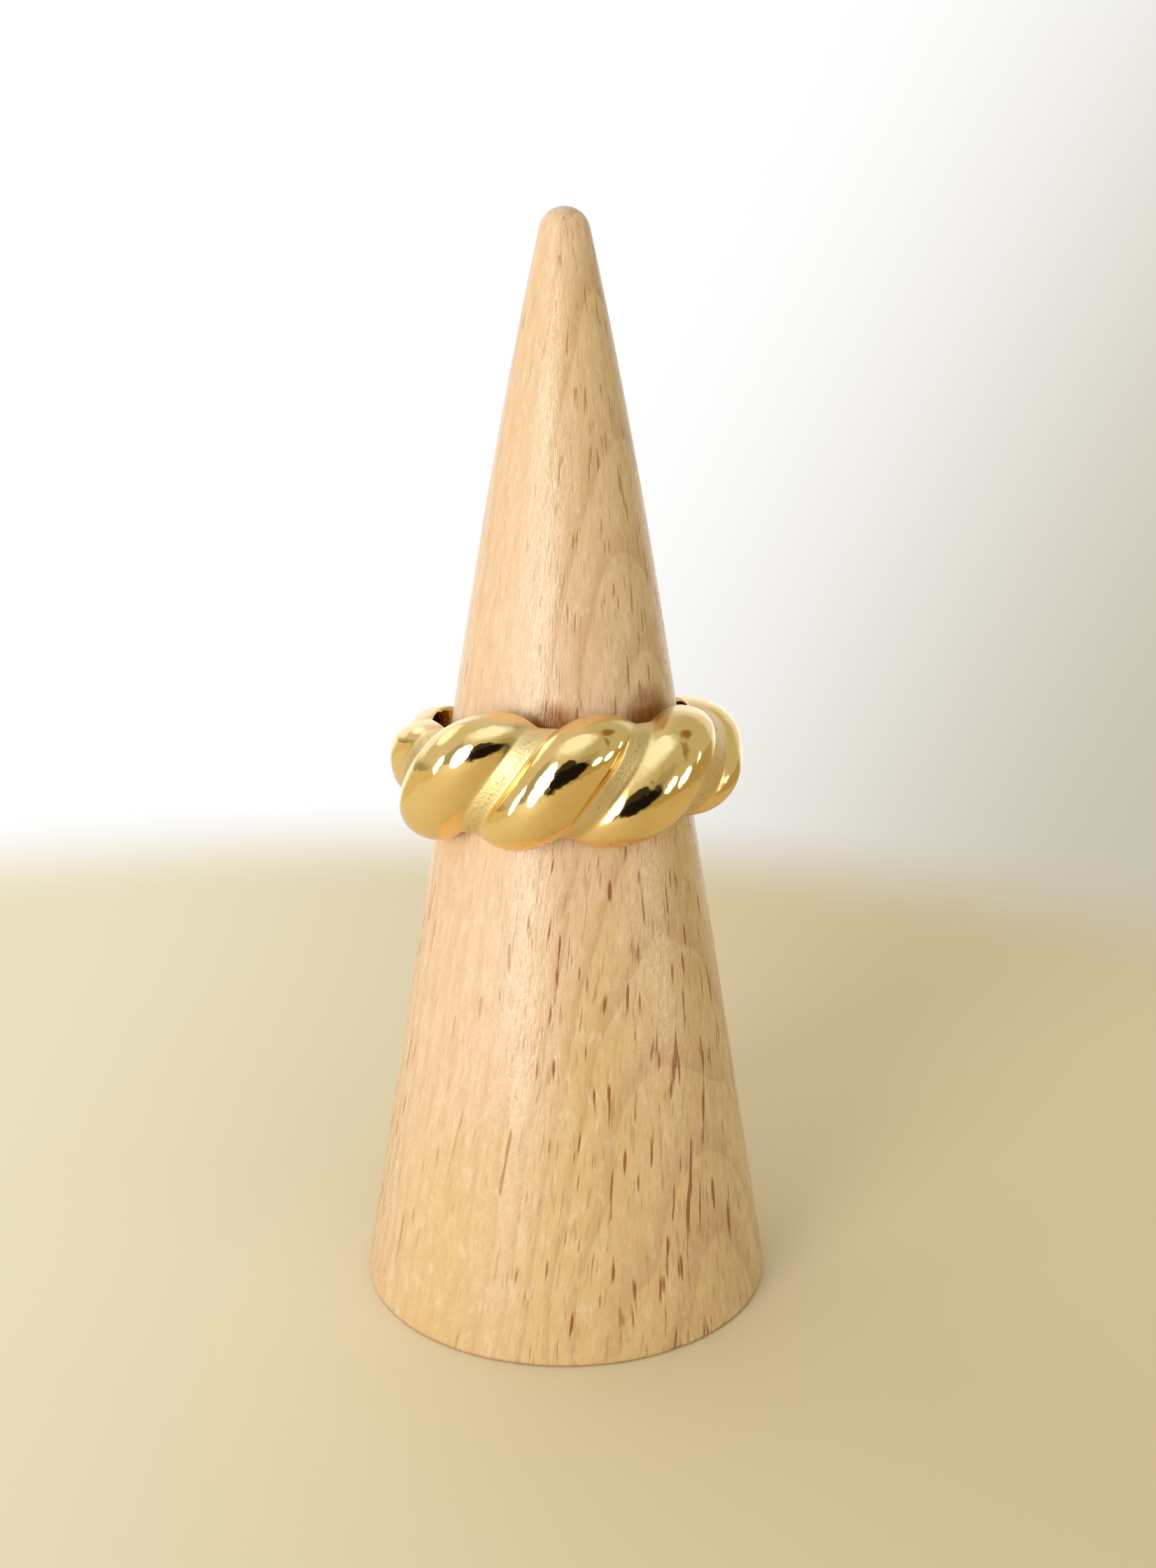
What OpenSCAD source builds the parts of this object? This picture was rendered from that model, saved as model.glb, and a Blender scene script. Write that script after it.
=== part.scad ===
// A twisted rope ring in gold, resting on a turned wooden ring cone.
// Millimetres, +Z up. The origin is the middle of the cone's foot, and the ring's front faces -Y.

/* [Cone] */
// Height from the foot to the tip
cone_h = 77.6; // [74:0.2:84]
// Diameter of the foot if its edge were sharp
foot_d = 30.4; // [29.6:0.1:30.6]
// Height where the straight taper ends and the sides start to bow in
shoulder_z = 50; // [47:0.5:53]
// Diameter at that height
shoulder_d = 13.7; // [13.4:0.1:13.8]
// Radius of the rounded tip
tip_r = 1.75; // [1.6:0.05:1.9]
// Radius of the foot's worn edge
foot_round = 0.4; // [0.2:0.1:0.8]

/* [Ring] */
// Finger hole at its narrowest, US size 8.5
bore_d = 18.6; // [18.4:0.05:19]
// How far the hole's wall swells inward between its two rolled edges
bore_swell = 0.15; // [0.1:0.05:0.3]
// Thickness of the band at the front, from the hole's edge to the top of a lobe
band_t = 3.24; // [3:0.02:3.6]
// Share of that thickness that the band gains at its upper edge and loses at its lower one
upper_thicker = 0.036; // [0:0.002:0.06]
// Share of it that the back of the band gains
back_thicker = 0.11; // [0:0.01:0.2]
// Width of the band at the front, along the finger
band_w = 8.84; // [8:0.02:9.2]
// Share of that width that the back of the band loses
back_narrower = 0.35; // [0:0.01:0.45]
// How boxy the band's section is, 2 being an ellipse
boxiness = 2.33; // [2:0.01:3]

/* [Lobes] */
// Turn that a groove makes on its way from the lower edge to the upper
groove_turn = 38; // [30:0.5:44]
// How much steeper a groove runs at mid height than at the edges
groove_bend = 0.26; // [0:0.02:0.4]
// Depth that the grooves would have with no floor, as a share of the band's thickness
groove_depth = 0.54; // [0.4:0.01:0.6]
// Depth of the scallops in the edges with no floor, as a share of half the band's width
scallop_depth = 0.28; // [0.1:0.01:0.34]
// Share of those depths at which the grooves' floor lies
groove_floor = 0.64; // [0.5:0.01:0.9]
// Softness of the bend from a lobe to the floor
floor_softness = 0.12; // [0.1:0.02:0.4]
// Roundness of a lobe, 1 being a full half circle
roundness = 0.985; // [0.9:0.005:0.99]
// Softness of the lobe's foot, as a share of half a lobe
groove_fillet = 0.18; // [0.1:0.02:0.3]

/* [Seat] */
// Height of the band's middle above the foot
seat_z = 39.92; // [39.9:0.02:40.3]
// How far the left side sags below the right, in degrees
sag_left = 2.2; // [1.8:0.1:2.4]
// How far the back sags below the front, in degrees
sag_back = 4; // [3.6:0.1:4.2]
// Shift to the left that centres the sagging ring on the taper
shift_left = 0.22; // [0.18:0.01:0.25]
// Shift to the back that does the same
shift_back = 0.22; // [0.18:0.01:0.26]

/* [Hidden] */

// Columns of the table of lobes: where a lobe starts and ends, in degrees round from the front, and how far
// it swells past the others, as a share of half the band's width
START = 0;
END = 1;
SWELL = 2;
// The lobes in order round the ring, from its left side through the front to the back
LOBES = [
    [-111.6, -71.7, -0.091],
    [-67.4, -23.7, 0.122],
    [-22.9, 16.9, 0.032],
    [16.9, 61.7, 0.046],
    [73.7, 115.6, 0.014],
    [115.6, 159.9, 0],
    [159.9, 204.1, 0],
    [204.1, 248.4, 0]
];
// The swell shows more in a lobe's thickness than in its width
SWELL_OUT = 1.8;

// Steps along each lobe, and round the section's outer and inner halves
LOBE_STEPS = 22;
OUTER_STEPS = 22;
INNER_STEPS = 8;
// How boxy the finger hole's wall is, so that it stays nearly straight between its rolled edges
INNER_BOXINESS = 5;
// Where on its way from crest to groove a lobe starts to take on its neighbour's swell
SWELL_MIX = 0.75;

// Facets of the turned cone's circles, of which the bow is a short stretch of a very large one
TURN_FACETS = 180;
EDGE_FACETS = 48;
TIP_FACETS = 96;
BOW_FACETS = 1440;

foot_r = foot_d / 2;
shoulder_r = shoulder_d / 2;
taper_angle = atan2(foot_r - shoulder_r, shoulder_z);
// The taper's outward direction
out_x = cos(taper_angle);
out_z = sin(taper_angle);

// Middle of the small circle that rounds the foot's edge, touching the floor and the taper
edge_x = shoulder_r - (foot_round + out_z * (foot_round - shoulder_z)) / out_x;

// The bowed side is one arc that leaves the taper smoothly and runs smoothly into the tip
tip_z = cone_h - tip_r;
tip_rise = tip_z - shoulder_z;
tip_reach = tip_rise * out_z - shoulder_r * out_x;
bow_r = (shoulder_r * shoulder_r + tip_rise * tip_rise - tip_r * tip_r) / (-2 * (tip_reach + tip_r));
bow_x = shoulder_r - bow_r * out_x;
bow_z = shoulder_z - bow_r * out_z;
// Height where the bow runs into the tip
join_z = bow_z + (tip_z - bow_z) * bow_r / (bow_r - tip_r);

edge_r = bore_d / 2 + bore_swell;
rows = len(LOBES) * LOBE_STEPS;
section_steps = OUTER_STEPS + INNER_STEPS;

// Where lobe i starts, with the count carrying on round the ring
function lobe_start(i) = LOBES[i % len(LOBES)][START] + 360 * floor(i / len(LOBES));

// How deep the surface lies at a place along a lobe, 0 on its crest and groove_floor in the grooves beside it
function groove(along) =
    let (
        off = abs(2 * along - 1),
        flat = sqrt((1 - off) * (1 - off) + groove_fillet * groove_fillet),
        far = sqrt(1 + groove_fillet * groove_fillet),
        q = 1 - (flat - groove_fillet) / (far - groove_fillet),
        sunk = (1 - sqrt(1 - pow(roundness * q, 2))) / (1 - sqrt(1 - pow(roundness, 2))),
        share = min(max(0.5 + 0.5 * (groove_floor - sunk) / floor_softness, 0), 1)
    )
    groove_floor * (1 - share) + sunk * share - floor_softness * share * (1 - share);

// Swell at a place along a lobe, which meets its neighbour's halfway in the groove between them
function swell_at(lobe, along) =
    let (
        off = abs(2 * along - 1),
        beside = (lobe + (along < 0.5 ? len(LOBES) - 1 : 1)) % len(LOBES),
        share = min(max(off - SWELL_MIX, 0) / (1 - SWELL_MIX), 1) / 2
    )
    LOBES[lobe][SWELL] * (1 - share) + LOBES[beside][SWELL] * share;

// Scale that carries a point of the unit circle out to a boxy one
function boxy(a, power) = pow(pow(abs(cos(a)), power) + pow(abs(sin(a)), power), -1 / power);

// How near a place round the ring is to its back, 0 at the front and 1 at the back
function to_back(around) = (1 - cos(around)) / 2;

// Section angle of step j: -90 is the lower edge, 0 the outside, 90 the upper edge, 180 the finger hole
function section_angle(j) =
    j < OUTER_STEPS ? -90 + 180 * j / OUTER_STEPS : 90 + 180 * (j - OUTER_STEPS) / INNER_STEPS;

// Turn of a groove from its place at mid height, in degrees
function groove_shift(a) = groove_turn * (a / 180 + groove_bend * sin(2 * a) / (2 * PI));

// Point of the ring on grid line i, which follows the lobes, at step j round the section
function ring_point(i, j) =
    let (
        lobe = floor(i / LOBE_STEPS),
        a = section_angle(j),
        inner = j > OUTER_STEPS,
        k = boxy(a, inner ? INNER_BOXINESS : boxiness),
        shift = inner ? groove_turn / 2 * sin(a) * k : groove_shift(a),
        start = lobe_start(lobe),
        onward = (lobe_start(lobe + 1) - start) * (i / LOBE_STEPS - lobe),
        around = start + onward + shift,
        along = min(onward / (LOBES[lobe][END] - start), 1),
        sunk = groove(along),
        swell = swell_at(lobe, along) * (1 - sunk),
        lobe_t = band_t * (1 - groove_depth * sunk + SWELL_OUT * swell),
        outer_t = lobe_t * (1 + upper_thicker * sin(a)) * (1 + back_thicker * to_back(around)),
        out = (inner ? bore_swell : outer_t) * cos(a) * k,
        half_w = band_w / 2 * (1 - back_narrower * to_back(around)),
        up = half_w * sin(a) * k * (1 - scallop_depth * sunk + swell)
    )
    [(edge_r + out) * sin(around), -(edge_r + out) * cos(around), up];

module ring_cone() {
    color("burlywood")
        rotate_extrude($fn = TURN_FACETS) {
            polygon([
                [0, 0],
                [edge_x, 0],
                [edge_x + foot_round * out_x, foot_round * (1 + out_z)],
                [shoulder_r, shoulder_z],
                [0, shoulder_z]
            ]);
            translate([edge_x, foot_round])
                circle(r = foot_round, $fn = EDGE_FACETS);
            intersection() {
                translate([bow_x, bow_z])
                    circle(r = bow_r, $fn = BOW_FACETS);
                translate([0, shoulder_z])
                    square([foot_r, join_z - shoulder_z]);
            }
            intersection() {
                translate([0, tip_z])
                    circle(r = tip_r, $fn = TIP_FACETS);
                translate([0, join_z])
                    square([foot_r, cone_h]);
            }
        }
}

module twisted_ring() {
    points = [for (i = [0:rows - 1], j = [0:section_steps - 1]) ring_point(i, j)];
    faces = [
        for (i = [0:rows - 1], j = [0:section_steps - 1])
            let (
                i2 = (i + 1) % rows,
                j2 = (j + 1) % section_steps,
                p = i * section_steps + j,
                q = i * section_steps + j2,
                r = i2 * section_steps + j2,
                s = i2 * section_steps + j
            )
            each [[p, q, r], [p, r, s]]
    ];
    color("gold")
        translate([-shift_left, shift_back, seat_z])
            rotate([-sag_back, 0, 0])
                rotate([0, -sag_left, 0])
                    polyhedron(points, faces);
}

ring_cone();
twisted_ring();
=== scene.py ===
import math
import bmesh
import bpy
from mathutils import Matrix, Vector


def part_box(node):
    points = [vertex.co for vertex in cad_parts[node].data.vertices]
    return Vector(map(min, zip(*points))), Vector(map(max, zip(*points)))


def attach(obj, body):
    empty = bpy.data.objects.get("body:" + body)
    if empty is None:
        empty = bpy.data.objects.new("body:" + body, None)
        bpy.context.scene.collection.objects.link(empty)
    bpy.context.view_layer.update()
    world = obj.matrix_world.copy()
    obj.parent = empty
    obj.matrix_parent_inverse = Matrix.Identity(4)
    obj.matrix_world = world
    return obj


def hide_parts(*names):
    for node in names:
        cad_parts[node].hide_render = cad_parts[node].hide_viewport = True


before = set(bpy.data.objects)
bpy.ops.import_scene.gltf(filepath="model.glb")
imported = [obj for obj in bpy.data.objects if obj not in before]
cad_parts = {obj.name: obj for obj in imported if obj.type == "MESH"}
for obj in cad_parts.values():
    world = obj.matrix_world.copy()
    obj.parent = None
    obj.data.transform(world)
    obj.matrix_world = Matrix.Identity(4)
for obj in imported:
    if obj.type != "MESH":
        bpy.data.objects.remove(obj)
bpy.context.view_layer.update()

# The ring cone
# One piece of beech, turned to a straight taper that bows in to a small round tip, then sanded fine and
# left bare. The foot is cut flat, and its edge is a little worn.
MM = 0.001
cone_low, cone_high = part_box("ring_cone")
cone_height = cone_high.z - cone_low.z
foot_diameter = 30.4 * MM
shoulder_height = 50 * MM
shoulder_radius = 6.85 * MM
tip_radius = 1.75 * MM
foot_edge_radius = 0.4 * MM
# Steps along each part of the profile from the foot to the tip, and steps round the cone
foot_steps = 12
edge_steps = 8
taper_steps = 90
bow_steps = 48
tip_steps = 14
turn_steps = 360
# The foot's edge is worn a little unevenly, with one shallow chip at the right front. The chip's start and
# width are in degrees round from the front.
wear_height = 1.2 * MM
wear_depth = 0.05 * MM
chip_depth = 0.13 * MM
chip_start = 29.5
chip_width = 6


def arc(middle_x, middle_z, radius, start, end, steps):
    """Points of an arc in the plane of the cone's profile, without its first point."""
    angles = [start + (end - start) * step / steps for step in range(1, steps + 1)]
    return [(middle_x + radius * math.cos(a), middle_z + radius * math.sin(a)) for a in angles]


def straight(start, end, steps):
    """Evenly spaced points of a straight line, without its first point."""
    shares = [step / steps for step in range(1, steps + 1)]
    return [(start[0] + (end[0] - start[0]) * s, start[1] + (end[1] - start[1]) * s) for s in shares]


def cone_profile():
    """The outline that the cone is turned to, from the middle of its foot to its tip."""
    taper = math.atan2(foot_diameter / 2 - shoulder_radius, shoulder_height)
    out_x = math.cos(taper)
    out_z = math.sin(taper)
    edge_x = shoulder_radius - (foot_edge_radius + out_z * (foot_edge_radius - shoulder_height)) / out_x
    tip_z = cone_height - tip_radius
    rise = tip_z - shoulder_height
    reach = rise * out_z - shoulder_radius * out_x
    bow = (shoulder_radius ** 2 + rise ** 2 - tip_radius ** 2) / (-2 * (reach + tip_radius))
    bow_x = shoulder_radius - bow * out_x
    bow_z = shoulder_height - bow * out_z
    join = math.asin((tip_z - bow_z) / (bow - tip_radius))
    points = [(0, 0)]
    points += straight(points[-1], (edge_x, 0), foot_steps)
    points += arc(edge_x, foot_edge_radius, foot_edge_radius, -math.pi / 2, taper, edge_steps)
    points += straight(points[-1], (shoulder_radius, shoulder_height), taper_steps)
    points += arc(bow_x, bow_z, bow, taper, join, bow_steps)
    points += arc(0, tip_z, tip_radius, join, math.pi / 2, tip_steps)
    return points


def finished_piece(name, mesh_maker, material_of_piece):
    """Turns a bmesh into a smooth object that rides on the part's one body."""
    mesh = bpy.data.meshes.new(name)
    mesh_maker.to_mesh(mesh)
    mesh_maker.free()
    mesh.polygons.foreach_set("use_smooth", [True] * len(mesh.polygons))
    mesh.materials.append(material_of_piece)
    piece = bpy.data.objects.new(name, mesh)
    bpy.context.scene.collection.objects.link(piece)
    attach(piece, "root")
    return piece


def add(tree, kind, inputs, **settings):
    """Adds a shader node. An input is given a plain value or the output socket that feeds it."""
    made = tree.nodes.new("ShaderNode" + kind)
    for name, value in settings.items():
        setattr(made, name, value)
    for socket, value in inputs.items():
        if isinstance(value, bpy.types.NodeSocket):
            tree.links.new(value, made.inputs[socket])
        else:
            made.inputs[socket].default_value = value
    return made


def maths(tree, operation, first, second=0.0, third=0.0):
    """One step of arithmetic on numbers or sockets."""
    return add(tree, "Math", {0: first, 1: second, 2: third}, operation=operation).outputs[0]


def fade(tree, value, start, end, low=0.0, high=1.0):
    """Goes smoothly from low to high as the value goes from start to end."""
    inputs = {"Value": value, "From Min": start, "From Max": end, "To Min": low, "To Max": high}
    return add(tree, "MapRange", inputs, interpolation_type="SMOOTHSTEP").outputs["Result"]


def blend(tree, amount, first, second):
    """Mixes two colours."""
    return add(tree, "Mix", {0: amount, 6: first, 7: second}, data_type="RGBA").outputs[2]


def stretched(tree, place, size):
    """Scales a place so that one unit is the given size in mm."""
    scale = tuple(1 / (side * MM) for side in size)
    return add(tree, "VectorMath", {0: place, 1: scale}, operation="MULTIPLY").outputs[0]


def noise(tree, place, detail, roughness):
    """Soft random values about a half."""
    inputs = {"Vector": place, "Scale": 1, "Detail": detail, "Roughness": roughness}
    return add(tree, "TexNoise", inputs).outputs["Fac"]


def rays(tree, place, size, thinner, start, end):
    """Slender upright strokes, each with its own strength from 0 to 1."""
    strokes = noise(tree, stretched(tree, place, size), 1, 0.35)
    return fade(tree, maths(tree, "SUBTRACT", strokes, thinner), start, end)


beech_pink = (0.75, 0.52, 0.34, 1)
beech_yellow = (0.70, 0.485, 0.225, 1)
layer_brown = (0.56, 0.35, 0.16, 1)
fleck_brown = (0.27, 0.075, 0.004, 1)
beech_cream = (0.86, 0.67, 0.49, 1)
# Brown of the stain and of the painted shade above the ring's notches
stain_and_shade_brown = (0.30, 0.095, 0.003, 1)
beech = bpy.data.materials.new("beech")
beech.use_nodes = True
tree = beech.node_tree
shader = tree.nodes["Principled BSDF"]
object_place = add(tree, "TexCoord", {}).outputs["Object"]
on_cone = add(tree, "SeparateXYZ", {0: object_place})
# The grain isn't quite straight, so all of its marks wander a little
wander_size = (8, 8, 16)
wander_reach = (2.4 * MM, 2.4 * MM, 0)
wander_place = stretched(tree, object_place, wander_size)
wander = add(tree, "TexNoise", {"Vector": wander_place, "Scale": 1, "Detail": 1})
wander_step = add(tree, "VectorMath", {0: wander.outputs["Color"], 1: (0.5, 0.5, 0.5)}, operation="SUBTRACT")
wander_step = add(tree, "VectorMath", {0: wander_step.outputs[0], 1: wander_reach}, operation="MULTIPLY")
place = add(tree, "VectorMath", {0: object_place, 1: wander_step.outputs[0]}, operation="ADD").outputs[0]
# The tree's yearly layers face the right front, curved about a heart behind
layer_turn = math.radians(-47)
layer_spacing = 1.45 * MM
heart_away = (0, 55 * MM, 0)
layer_place = add(tree, "Mapping", {"Vector": place, "Rotation": (0, 0, layer_turn)}).outputs[0]
heart = add(tree, "VectorMath", {0: layer_place, 1: heart_away}, operation="SUBTRACT").outputs[0]
heart_flat = add(tree, "VectorMath", {0: heart, 1: (1, 1, 0.01)}, operation="MULTIPLY").outputs[0]
heart_distance = add(tree, "VectorMath", {0: heart_flat}, operation="LENGTH").outputs["Value"]
layer = maths(tree, "FRACT", maths(tree, "DIVIDE", heart_distance, layer_spacing))
layer_edge = maths(tree, "MULTIPLY", fade(tree, layer, 0.5, 0.95), fade(tree, layer, 1, 0.95))
# The wood's rays show dark where the surface runs along the layers, and paler where it cuts across them
flat_place = add(tree, "VectorMath", {0: layer_place, 1: (1, 1, 0)}, operation="MULTIPLY").outputs[0]
facing = add(tree, "VectorMath", {0: flat_place}, operation="NORMALIZE").outputs[0]
facing = maths(tree, "ABSOLUTE", add(tree, "SeparateXYZ", {0: facing}).outputs[1])
ray_depth = fade(tree, facing, 0.15, 0.7, 0.45, 1)
ray_depth = maths(tree, "MULTIPLY", ray_depth, fade(tree, on_cone.outputs[2], 30 * MM, 60 * MM, 1, 0.6))
thinner = fade(tree, facing, 0.15, 0.7, 0.035, 0)
# The marks get only a little finer up the taper, and they lean a little to the right. They are laid on a
# drum, on which they have their true size where the cone's radius is the drum's.
lean_per_metre = -8
lean_wander = 0.12
drum_size = 11 * MM
lean = maths(tree, "MULTIPLY", on_cone.outputs[2], lean_per_metre)
lean = maths(tree, "ADD", lean, maths(tree, "MULTIPLY", wander.outputs["Fac"], lean_wander))
leaning = add(tree, "VectorRotate", {"Vector": object_place, "Angle": lean}, rotation_type="Z_AXIS")
outward = add(tree, "VectorMath", {0: leaning.outputs[0], 1: (1, 1, 0)}, operation="MULTIPLY").outputs[0]
radius_here = add(tree, "VectorMath", {0: outward}, operation="LENGTH").outputs["Value"]
outward = add(tree, "VectorMath", {0: outward}, operation="NORMALIZE").outputs[0]
drum_radius = maths(tree, "SQRT", maths(tree, "MULTIPLY", radius_here, drum_size))
drum = add(tree, "VectorMath", {0: outward, "Scale": drum_radius}, operation="SCALE").outputs[0]
upright = add(tree, "VectorMath", {0: object_place, 1: (0, 0, 1)}, operation="MULTIPLY").outputs[0]
drum = add(tree, "VectorMath", {0: drum, 1: upright}, operation="ADD").outputs[0]
fibre = noise(tree, stretched(tree, drum, (0.18, 0.18, 1.2)), 2, 0.6)
streak = noise(tree, stretched(tree, drum, (0.6, 0.6, 5)), 2, 0.6)
mottle = noise(tree, stretched(tree, drum, (0.7, 0.7, 1.6)), 3, 0.65)
large_rays = rays(tree, drum, (0.5, 0.5, 6), thinner, 0.70, 0.79)
long_rays = rays(tree, drum, (0.4, 0.4, 4.5), thinner, 0.635, 0.74)
small_rays = rays(tree, drum, (0.22, 0.22, 2.4), thinner, 0.58, 0.74)
# The wood's tone changes a little at random, and light and shade are painted into it over that: pinker above
# and at the left, where the window lights it, and yellower and deeper below and at the right, where it lies
# in warm shade
tone_and_painted_shade = noise(tree, stretched(tree, object_place, (16, 16, 30)), 2, 0.5)
tone_and_painted_shade = maths(tree, "SUBTRACT", tone_and_painted_shade, fade(tree, on_cone.outputs[2], 0, 45 * MM, -0.22, 0.1))
tone_and_painted_shade = maths(tree, "ADD", tone_and_painted_shade, fade(tree, on_cone.outputs[0], -6 * MM, 12 * MM, -0.04, 0.42))
colour = blend(tree, fade(tree, tone_and_painted_shade, 0.35, 0.75), beech_pink, beech_yellow)
layer_depth = fade(tree, facing, 0.1, 0.8, 0.25, 0.75)
layer_depth = maths(tree, "MULTIPLY", layer_depth, fade(tree, tone_and_painted_shade, 0.2, 0.6, 0.5, 1))
colour = blend(tree, maths(tree, "MULTIPLY", layer_edge, layer_depth), colour, layer_brown)
colour = blend(tree, fade(tree, fibre, 0.3, 0.7, 0.0, 0.3), colour, layer_brown)
colour = blend(tree, fade(tree, streak, 0.4, 0.75, 0.0, 0.3), colour, layer_brown)
colour = blend(tree, fade(tree, mottle, 0.5, 0.8, 0.0, 0.35), colour, layer_brown)
colour = blend(tree, fade(tree, mottle, 0.5, 0.25, 0.0, 0.38), colour, beech_cream)
dark = maths(tree, "MULTIPLY", maths(tree, "MAXIMUM", large_rays, long_rays), 0.9)
dark = maths(tree, "MAXIMUM", dark, maths(tree, "MULTIPLY", small_rays, 0.3))
dark = maths(tree, "MULTIPLY", dark, ray_depth)
colour = blend(tree, dark, colour, fleck_brown)
# A brown mark above two of the ring's notches: partly a stain that handling has left, partly painted shade
# where the ring's notches shade the wood and warm it with their reflection
for middle, radius in (((5.6, -5.4, 44.1), 3), ((-1.1, -7.7, 43.9), 2.4)):
    stain_and_shade_place = tuple(side * MM for side in middle)
    away = add(tree, "VectorMath", {0: place, 1: stain_and_shade_place}, operation="DISTANCE").outputs["Value"]
    stain_and_shade = fade(tree, away, radius * MM, 0.4 * radius * MM)
    stain_and_shade = maths(tree, "MULTIPLY", stain_and_shade, fade(tree, mottle, 0.65, 0.35, 0.85, 1))
    colour = blend(tree, stain_and_shade, colour, stain_and_shade_brown)
tree.links.new(colour, shader.inputs["Base Color"])
# The sanded surface glints in short strokes, and its fibres and rays can just be felt
pore_depth = 0.03 * MM
pearl = noise(tree, stretched(tree, drum, (0.2, 0.2, 0.5)), 2, 0.6)
tree.links.new(fade(tree, pearl, 0.3, 0.7, 0.15, 0.38), shader.inputs["Roughness"])
height = maths(tree, "SUBTRACT", maths(tree, "ADD", maths(tree, "MULTIPLY", fibre, 0.4), pearl), dark)
bump = add(tree, "Bump", {"Height": height, "Distance": pore_depth, "Strength": 1})
tree.links.new(bump.outputs[0], shader.inputs["Normal"])

turned = bmesh.new()
outline = [turned.verts.new((x, 0, z)) for x, z in cone_profile()]
edges = [turned.edges.new(pair) for pair in zip(outline, outline[1:])]
bmesh.ops.spin(
    turned,
    geom=outline + edges,
    cent=(0, 0, 0),
    axis=(0, 0, 1),
    angle=math.tau,
    steps=turn_steps,
    use_merge=True,
)
bmesh.ops.remove_doubles(turned, verts=turned.verts, dist=0.002 * MM)
for vert in turned.verts:
    if vert.co.z < wear_height:
        a = math.atan2(vert.co.x, -vert.co.y)
        across_chip = (math.degrees(a) - chip_start) / chip_width
        lost = wear_depth * (0.5 + 0.25 * math.sin(5 * a + 1) + 0.25 * math.sin(17 * a))
        if 0 < across_chip < 1:
            lost += chip_depth * (1 - across_chip)
        vert.co.xy *= 1 - lost / (foot_diameter / 2) * (1 - vert.co.z / wear_height)
bmesh.ops.recalc_face_normals(turned, faces=turned.faces)
cone = finished_piece("turned_cone", turned, beech)
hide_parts("ring_cone")

# The twisted ring
# One casting of yellow gold, a rope twist of eight fat lobes that lean from lower left to upper right,
# polished to a mirror. It sags a little to the left and to the back on the taper.
bore_radius = 9.3 * MM
bore_swell = 0.15 * MM
band_thickness = 3.24 * MM
upper_thicker = 0.036
back_thicker = 0.11
band_width = 8.84 * MM
back_narrower = 0.35
boxiness = 2.33
bore_boxiness = 5
groove_turn = math.radians(38)
groove_bend = 0.26
groove_depth = 0.54
groove_floor = 0.64
floor_softness = 0.12
groove_fillet = 0.18
scallop_depth = 0.28
roundness = 0.985
swell_outward = 1.8
swell_mix = 0.75
seat_height = 39.92 * MM
sag_left = math.radians(2.2)
sag_back = math.radians(4)
shift_left = 0.22 * MM
shift_back = 0.22 * MM
# Columns of the table of lobes: where a lobe starts and ends, in degrees round from the front, and how far
# it swells past the others, as a share of half the band's width
START = 0
END = 1
SWELL = 2
LOBES = (
    (-111.6, -71.7, -0.091),
    (-67.4, -23.7, 0.122),
    (-22.9, 16.9, 0.032),
    (16.9, 61.7, 0.046),
    (73.7, 115.6, 0.014),
    (115.6, 159.9, 0),
    (159.9, 204.1, 0),
    (204.1, 248.4, 0),
)
# Steps along each lobe, steps round the section, and the share of those that its outer half takes
LOBE_STEPS = 60
SECTION_STEPS = 120
OUTER_SHARE = 0.8


def groove(along):
    """Depth of the surface at a place along a lobe, 0 on its crest and groove_floor in the grooves beside it.

    Gives the depth that it would have with no floor too.
    """
    off = abs(2 * along - 1)
    flat = math.hypot(1 - off, groove_fillet)
    far = math.hypot(1, groove_fillet)
    q = 1 - (flat - groove_fillet) / (far - groove_fillet)
    sunk = (1 - math.sqrt(1 - (roundness * q) ** 2)) / (1 - math.sqrt(1 - roundness ** 2))
    share = min(max(0.5 + 0.5 * (groove_floor - sunk) / floor_softness, 0), 1)
    return groove_floor * (1 - share) + sunk * share - floor_softness * share * (1 - share), sunk


def swell_at(lobe, along):
    """Swell at a place along a lobe, which meets its neighbour's halfway in the groove between them."""
    beside = (lobe + (-1 if along < 0.5 else 1)) % len(LOBES)
    share = min(max(abs(2 * along - 1) - swell_mix, 0) / (1 - swell_mix), 1) / 2
    return LOBES[lobe][SWELL] * (1 - share) + LOBES[beside][SWELL] * share


def boxy(angle, power):
    """Scale that carries a point of the unit circle out to a boxy one."""
    return (abs(math.cos(angle)) ** power + abs(math.sin(angle)) ** power) ** (-1 / power)


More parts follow.
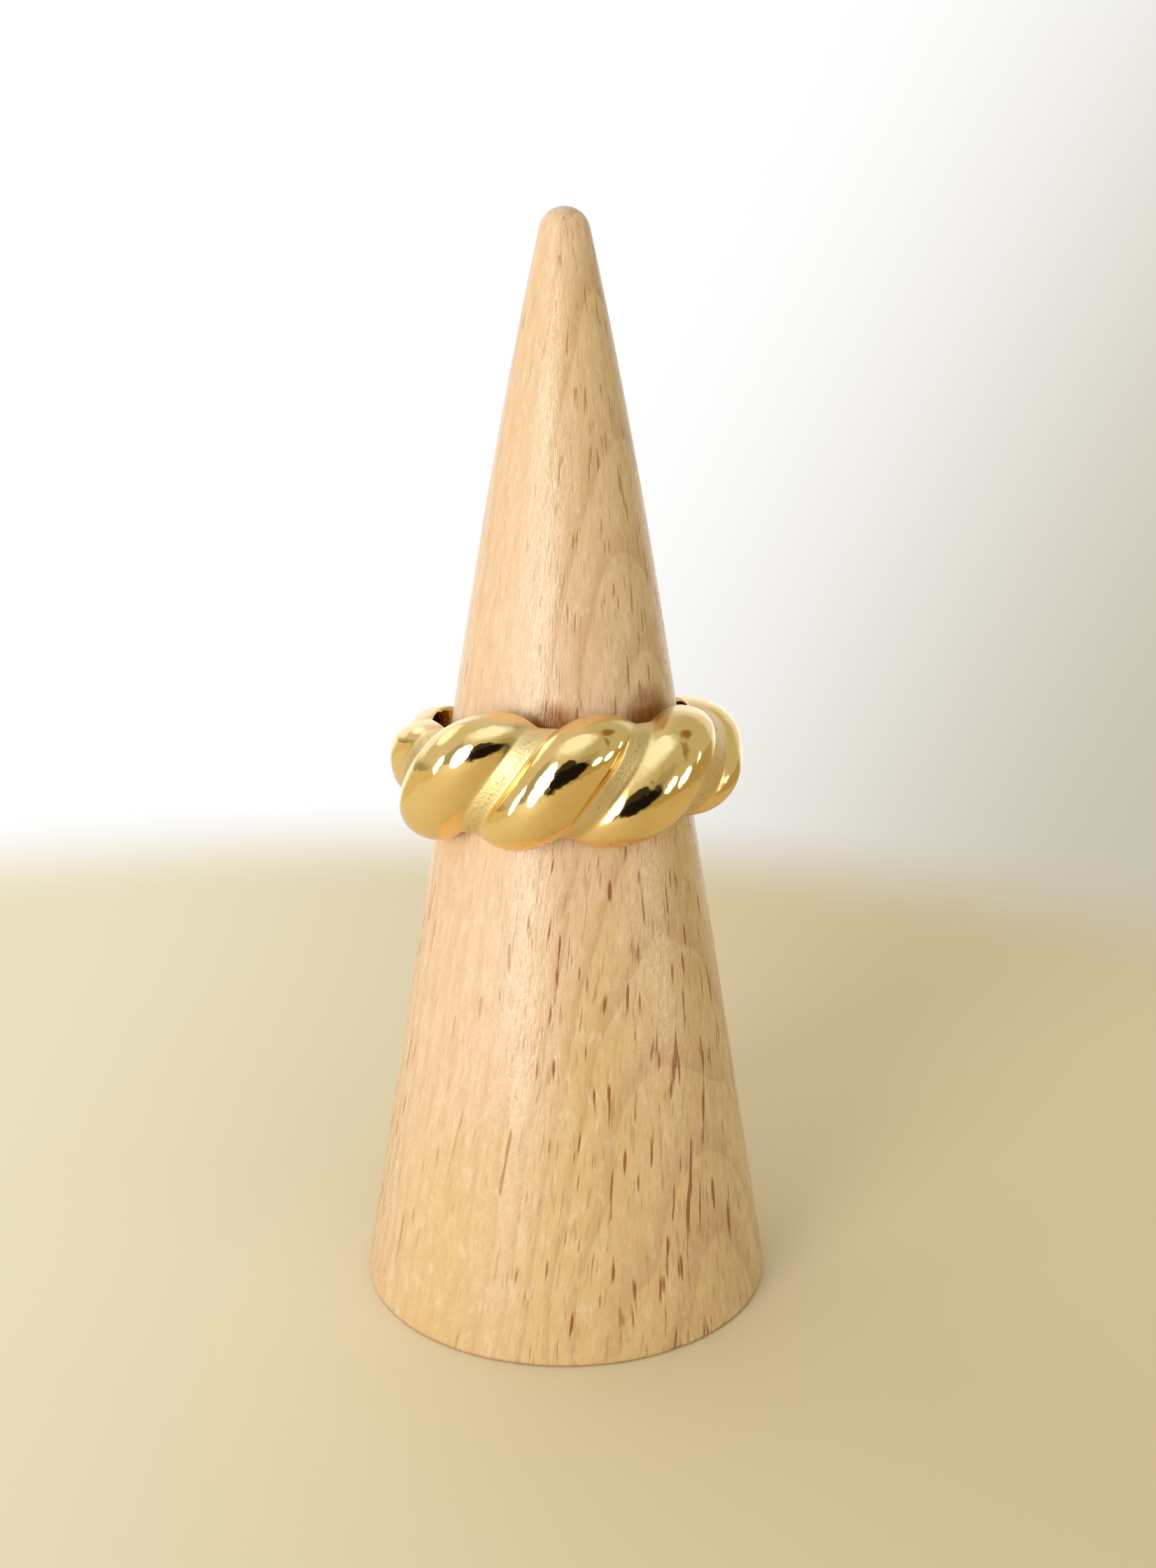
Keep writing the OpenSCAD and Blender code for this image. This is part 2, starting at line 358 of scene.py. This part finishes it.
def ring_point(i, section):
    """Point of the ring on grid line i round the lobes, at a share of the way round the section.

    Gives how far into a groove the point lies too, and how near it lies to an edge of the band, which is
    1 at the upper edge and -1 at the lower one.
    """
    lobe = min(i // LOBE_STEPS, len(LOBES) - 1)
    start = LOBES[lobe][START]
    end = LOBES[lobe][END]
    next_start = LOBES[lobe + 1][START] if lobe + 1 < len(LOBES) else LOBES[0][START] + 360
    onward = (next_start - start) * (i / LOBE_STEPS - lobe)
    inner = section > OUTER_SHARE
    if inner:
        angle = math.pi / 2 + math.pi * (section - OUTER_SHARE) / (1 - OUTER_SHARE)
        scale = boxy(angle, bore_boxiness)
        shift = groove_turn / 2 * math.sin(angle) * scale
    else:
        angle = math.pi * (section / OUTER_SHARE - 0.5)
        scale = boxy(angle, boxiness)
        shift = groove_turn * (angle / math.pi + groove_bend * math.sin(2 * angle) / math.tau)
    around = math.radians(start + onward) + shift
    along = min(onward / (end - start), 1)
    sunk, into_groove = groove(along)
    swell = swell_at(lobe, along) * (1 - sunk)
    to_back = (1 - math.cos(around)) / 2
    depth = bore_swell
    if not inner:
        depth = band_thickness * (1 - groove_depth * sunk + swell_outward * swell)
        depth *= (1 + upper_thicker * math.sin(angle)) * (1 + back_thicker * to_back)
    half_width = band_width / 2 * (1 - back_narrower * to_back)
    radius = bore_radius + bore_swell + depth * math.cos(angle) * scale
    rise = half_width * math.sin(angle) * scale * (1 - scallop_depth * sunk + swell)
    place = Vector((radius * math.sin(around), -radius * math.cos(around), rise))
    return place, 0 if inner else into_groove, math.sin(angle)


deep_gold = (0.88, 0.63, 0.26, 1)
pale_gold = (0.90, 0.66, 0.29, 1)
groove_skin = (0.70, 0.54, 0.27, 1)
dried_polish = (0.3, 0.17, 0.05, 1)
# Paler gold for the painted reflection along the upper edge
pale_rim_reflection_gold = (0.95, 0.79, 0.5, 1)
grain_depth = 0.026 * MM
gold = bpy.data.materials.new("polished_gold")
gold.use_nodes = True
tree = gold.node_tree
shader = tree.nodes["Principled BSDF"]
shader.inputs["Metallic"].default_value = 1
object_place = add(tree, "TexCoord", {}).outputs["Object"]
into_groove = add(tree, "Attribute", {}, attribute_name="into_groove").outputs["Fac"]
in_groove = fade(tree, into_groove, 0.5, 0.9)
edge = add(tree, "Attribute", {}, attribute_name="edge").outputs["Fac"]
near_edge = fade(tree, maths(tree, "ABSOLUTE", edge), 0.8, 0.98)
cloud = noise(tree, stretched(tree, object_place, (1.6, 1.6, 1.6)), 2, 0.5)
grit = noise(tree, stretched(tree, object_place, (0.2, 0.2, 0.2)), 1, 0.5)
wave = noise(tree, stretched(tree, object_place, (0.9, 0.9, 0.9)), 1, 0.6)
colour = blend(tree, fade(tree, cloud, 0.35, 0.65), deep_gold, pale_gold)
# The grooves keep a dull skin, and specks of polish dried in along their middles
colour = blend(tree, maths(tree, "MULTIPLY", in_groove, 0.8), colour, groove_skin)
specks = maths(tree, "MULTIPLY", fade(tree, into_groove, 0.93, 1), fade(tree, grit, 0.58, 0.68))
colour = blend(tree, maths(tree, "MULTIPLY", specks, 0.55), colour, dried_polish)
# The upper edge is painted paler, as a painted reflection of the pale wood that the rim faces, and both edges
# are less polished than the lobes
colour = blend(tree, fade(tree, edge, 0.8, 0.98, 0, 0.5), colour, pale_rim_reflection_gold)
tree.links.new(colour, shader.inputs["Base Color"])
polish = fade(tree, cloud, 0.35, 0.65, 0.05, 0.075)
polish = maths(tree, "ADD", polish, fade(tree, into_groove, 0.36, 0.8, 0, 0.4))
polish = maths(tree, "ADD", polish, maths(tree, "MULTIPLY", near_edge, 0.26))
tree.links.new(polish, shader.inputs["Roughness"])
height = maths(tree, "ADD", maths(tree, "MULTIPLY", grit, fade(tree, in_groove, 0, 1, 0.02, 1.1)), wave)
bump = add(tree, "Bump", {"Height": height, "Distance": grain_depth, "Strength": 1})
tree.links.new(bump.outputs[0], shader.inputs["Normal"])

seat = (
    Matrix.Translation((-shift_left, shift_back, seat_height))
    @ Matrix.Rotation(-sag_back, 4, "X")
    @ Matrix.Rotation(-sag_left, 4, "Y")
)
around_steps = len(LOBES) * LOBE_STEPS
band = bmesh.new()
bmesh.ops.create_grid(band, x_segments=around_steps, y_segments=SECTION_STEPS, size=0.5)
groove_layer = band.verts.layers.float.new("into_groove")
edge_layer = band.verts.layers.float.new("edge")
for vert in band.verts:
    point, into_groove, edge = ring_point(round((vert.co.x + 0.5) * around_steps), vert.co.y + 0.5)
    vert.co = seat @ point
    vert[groove_layer] = into_groove
    vert[edge_layer] = edge
bmesh.ops.remove_doubles(band, verts=band.verts, dist=0.001 * MM)
bmesh.ops.recalc_face_normals(band, faces=band.faces)
ring = finished_piece("rope_ring", band, gold)
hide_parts("twisted_ring")

# The studio
# A pale floor that fades to white, a bright room all round, a window at the left front and lamps at the
# right.
floor_middle = Vector((-25 * MM, -40 * MM, 0))
floor_radius = 170 * MM
floor_pale = (0.92, 0.82, 0.6, 1)
floor_shade_tan = (0.70, 0.56, 0.33, 1)
floor_mesh = bmesh.new()
bmesh.ops.create_circle(floor_mesh, cap_ends=True, segments=128, radius=floor_radius)
bmesh.ops.translate(floor_mesh, verts=floor_mesh.verts, vec=floor_middle)
mesh = bpy.data.meshes.new("floor")
floor_mesh.to_mesh(mesh)
floor_mesh.free()
floor_paint = bpy.data.materials.new("floor_paint")
floor_paint.use_nodes = True
tree = floor_paint.node_tree
shader = tree.nodes["Principled BSDF"]
shader.inputs["Roughness"].default_value = 0.7
object_place = add(tree, "TexCoord", {}).outputs["Object"]
across = add(tree, "SeparateXYZ", {0: object_place}).outputs[0]
# The floor is painted darker and warmer towards the right, as painted shade away from the window
colour = blend(tree, fade(tree, across, -70 * MM, 40 * MM), floor_pale, floor_shade_tan)
tree.links.new(colour, shader.inputs["Base Color"])
away = add(tree, "VectorMath", {0: object_place, 1: floor_middle}, operation="DISTANCE").outputs["Value"]
tree.links.new(fade(tree, away, floor_radius * 0.98, floor_radius * 0.75), shader.inputs["Alpha"])
mesh.materials.append(floor_paint)
floor = bpy.data.objects.new("floor", mesh)
bpy.context.scene.collection.objects.link(floor)

world = bpy.data.worlds.new("room")
bpy.context.scene.world = world
world.use_nodes = True
tree = world.node_tree
tree.nodes.clear()
direction = add(tree, "TexCoord", {}).outputs["Generated"]
# The room's shapes have uneven edges, which the polished lobes show
uneven = add(tree, "TexNoise", {"Vector": direction, "Scale": 9, "Detail": 2})
uneven = add(tree, "VectorMath", {0: uneven.outputs["Color"], 1: (0.5, 0.5, 0.5)}, operation="SUBTRACT")
uneven = add(tree, "VectorMath", {0: uneven.outputs[0], 1: (0.12, 0.12, 0.12)}, operation="MULTIPLY")
uneven = add(tree, "VectorMath", {0: direction, 1: uneven.outputs[0]}, operation="ADD")
uneven = add(tree, "VectorMath", {0: uneven.outputs[0]}, operation="NORMALIZE")
way = add(tree, "SeparateXYZ", {0: direction})
uneven_way = add(tree, "SeparateXYZ", {0: uneven.outputs[0]})
to_front = maths(tree, "MULTIPLY", uneven_way.outputs[1], -1)
azimuth = maths(tree, "DEGREES", maths(tree, "ARCTAN2", uneven_way.outputs[0], to_front))
elevation = maths(tree, "DEGREES", maths(tree, "ARCSINE", uneven_way.outputs[2]))
level = maths(tree, "DEGREES", maths(tree, "ARCSINE", way.outputs[2]))


def patch(under, colour_of_patch, middle, half_size, softness):
    """Paints a soft round patch on the room, by degrees round from the front and up from level."""
    off_side = maths(tree, "WRAP", maths(tree, "SUBTRACT", azimuth, middle[0]), 180, -180)
    off_side = maths(tree, "POWER", maths(tree, "DIVIDE", off_side, half_size[0]), 2)
    off_up = maths(tree, "SUBTRACT", elevation, middle[1])
    off_up = maths(tree, "POWER", maths(tree, "DIVIDE", off_up, half_size[1]), 2)
    off = maths(tree, "SQRT", maths(tree, "ADD", off_side, off_up))
    return blend(tree, fade(tree, off, 1 + softness, 1 - softness), under, colour_of_patch + (1,))


# Walls all round, paler at the left. There are bright areas behind and above, darker ones at the front, the
# right and the left, and one strong light at the back left.
right_share = fade(tree, way.outputs[0], -0.2, 0.35)
walls = blend(tree, right_share, (0.74, 0.70, 0.58, 1), (0.58, 0.56, 0.42, 1))
walls = patch(walls, (0.9, 0.9, 0.92), (160, 10), (30, 28), 0.3)
walls = patch(walls, (1.2, 1.22, 1.3), (-166, 8), (42, 24), 0.12)
walls = patch(walls, (1.13, 1.3, 1.5), (-5, 78), (70, 36), 0.3)
walls = patch(walls, (0.45, 0.4, 0.28), (34, 16), (18, 10), 0.4)
walls = patch(walls, (0.35, 0.27, 0.14), (69, 32), (5, 17), 0.5)
walls = patch(walls, (0.3, 0.18, 0.07), (93, 52), (16, 12), 0.35)
walls = patch(walls, (0.42, 0.42, 0.34), (-53, 12), (12, 26), 0.3)
walls = patch(walls, (0.42, 0.36, 0.22), (-112, 0), (28, 7), 0.6)
walls = patch(walls, (1.7, 1.7, 1.75), (-124, 34), (22, 9), 0.4)
# The ground, pale at the left and behind
ground = blend(tree, right_share, (0.78, 0.67, 0.4, 1), (0.46, 0.37, 0.16, 1))
ground = patch(ground, (0.98, 0.98, 0.95), (-40, -8), (20, 26), 0.7)
ground = patch(ground, (1.25, 1.22, 1.2), (180, 0), (46, 20), 0.15)
room = blend(tree, fade(tree, level, 0, -2), walls, ground)
# The dark shape in front of the ring
room = patch(room, (0.05, 0.04, 0.03), (-4, 14), (20, 15), 0.15)
room = patch(room, (0.012, 0.01, 0.01), (8, 2), (31, 14), 0.15)
# The camera itself sees a plain white room with soft shade at the right
to_shade = maths(tree, "SUBTRACT", way.outputs[0], maths(tree, "MULTIPLY", way.outputs[2], 0.5))
backdrop = blend(tree, fade(tree, to_shade, 0.06, 0.46), (1, 1, 1, 1), (0.59, 0.545, 0.44, 1))
seen = add(tree, "LightPath", {}).outputs["Is Camera Ray"]
background = add(tree, "Background", {"Color": blend(tree, seen, room, backdrop), "Strength": 1})
add(tree, "OutputWorld", {0: background.outputs[0]})

ring_middle = Vector((0, -12 * MM, 40 * MM))


def lamp(name, middle, half_size, brightness, distance=1.2):
    """An area light, seen from the ring at that azimuth and elevation with that half size, in degrees."""
    light = bpy.data.lights.new(name, "AREA")
    light.shape = "ELLIPSE"
    light.size = 2 * distance * math.tan(math.radians(half_size[0]))
    light.size_y = 2 * distance * math.tan(math.radians(half_size[1]))
    area = math.pi / 4 * light.size * light.size_y
    light.energy = brightness * math.pi * area
    lamp_object = bpy.data.objects.new(name, light)
    a = math.radians(middle[0])
    e = math.radians(middle[1])
    away_from_ring = Vector((math.sin(a) * math.cos(e), -math.cos(a) * math.cos(e), math.sin(e)))
    lamp_object.location = ring_middle + away_from_ring * distance
    lamp_object.rotation_euler = away_from_ring.to_track_quat("Z", "Y").to_euler()
    lamp_object.visible_camera = False
    bpy.context.scene.collection.objects.link(lamp_object)


lamp("window", (-34, 10), (13.5, 22), 7)
lamp("window_strip", (-69, 4), (5.5, 13), 4)
lamp("right_lamp_near", (53, -1), (8, 5.5), 4)
lamp("right_lamp_far", (76, -5), (9, 6), 4)
lamp("right_lamp_last", (97, 2), (3.5, 5), 4, 0.09)

# The camera
# It stands about level with the cone's tip and looks a little down at the ring's front.
camera_data = bpy.data.cameras.new("camera")
camera_data.sensor_fit = "HORIZONTAL"
camera_data.sensor_width = 36
camera_data.lens = 58.29
camera_data.clip_start = 5 * MM
camera = bpy.data.objects.new("camera", camera_data)
camera_down = math.radians(15.8)
camera_turn = math.radians(-0.395)
camera.location = (0, -129.2 * MM, 74.5 * MM)
camera.rotation_euler = (math.pi / 2 - camera_down, 0, camera_turn)
bpy.context.scene.collection.objects.link(camera)
bpy.context.scene.camera = camera
bpy.context.scene.view_settings.view_transform = "Standard"
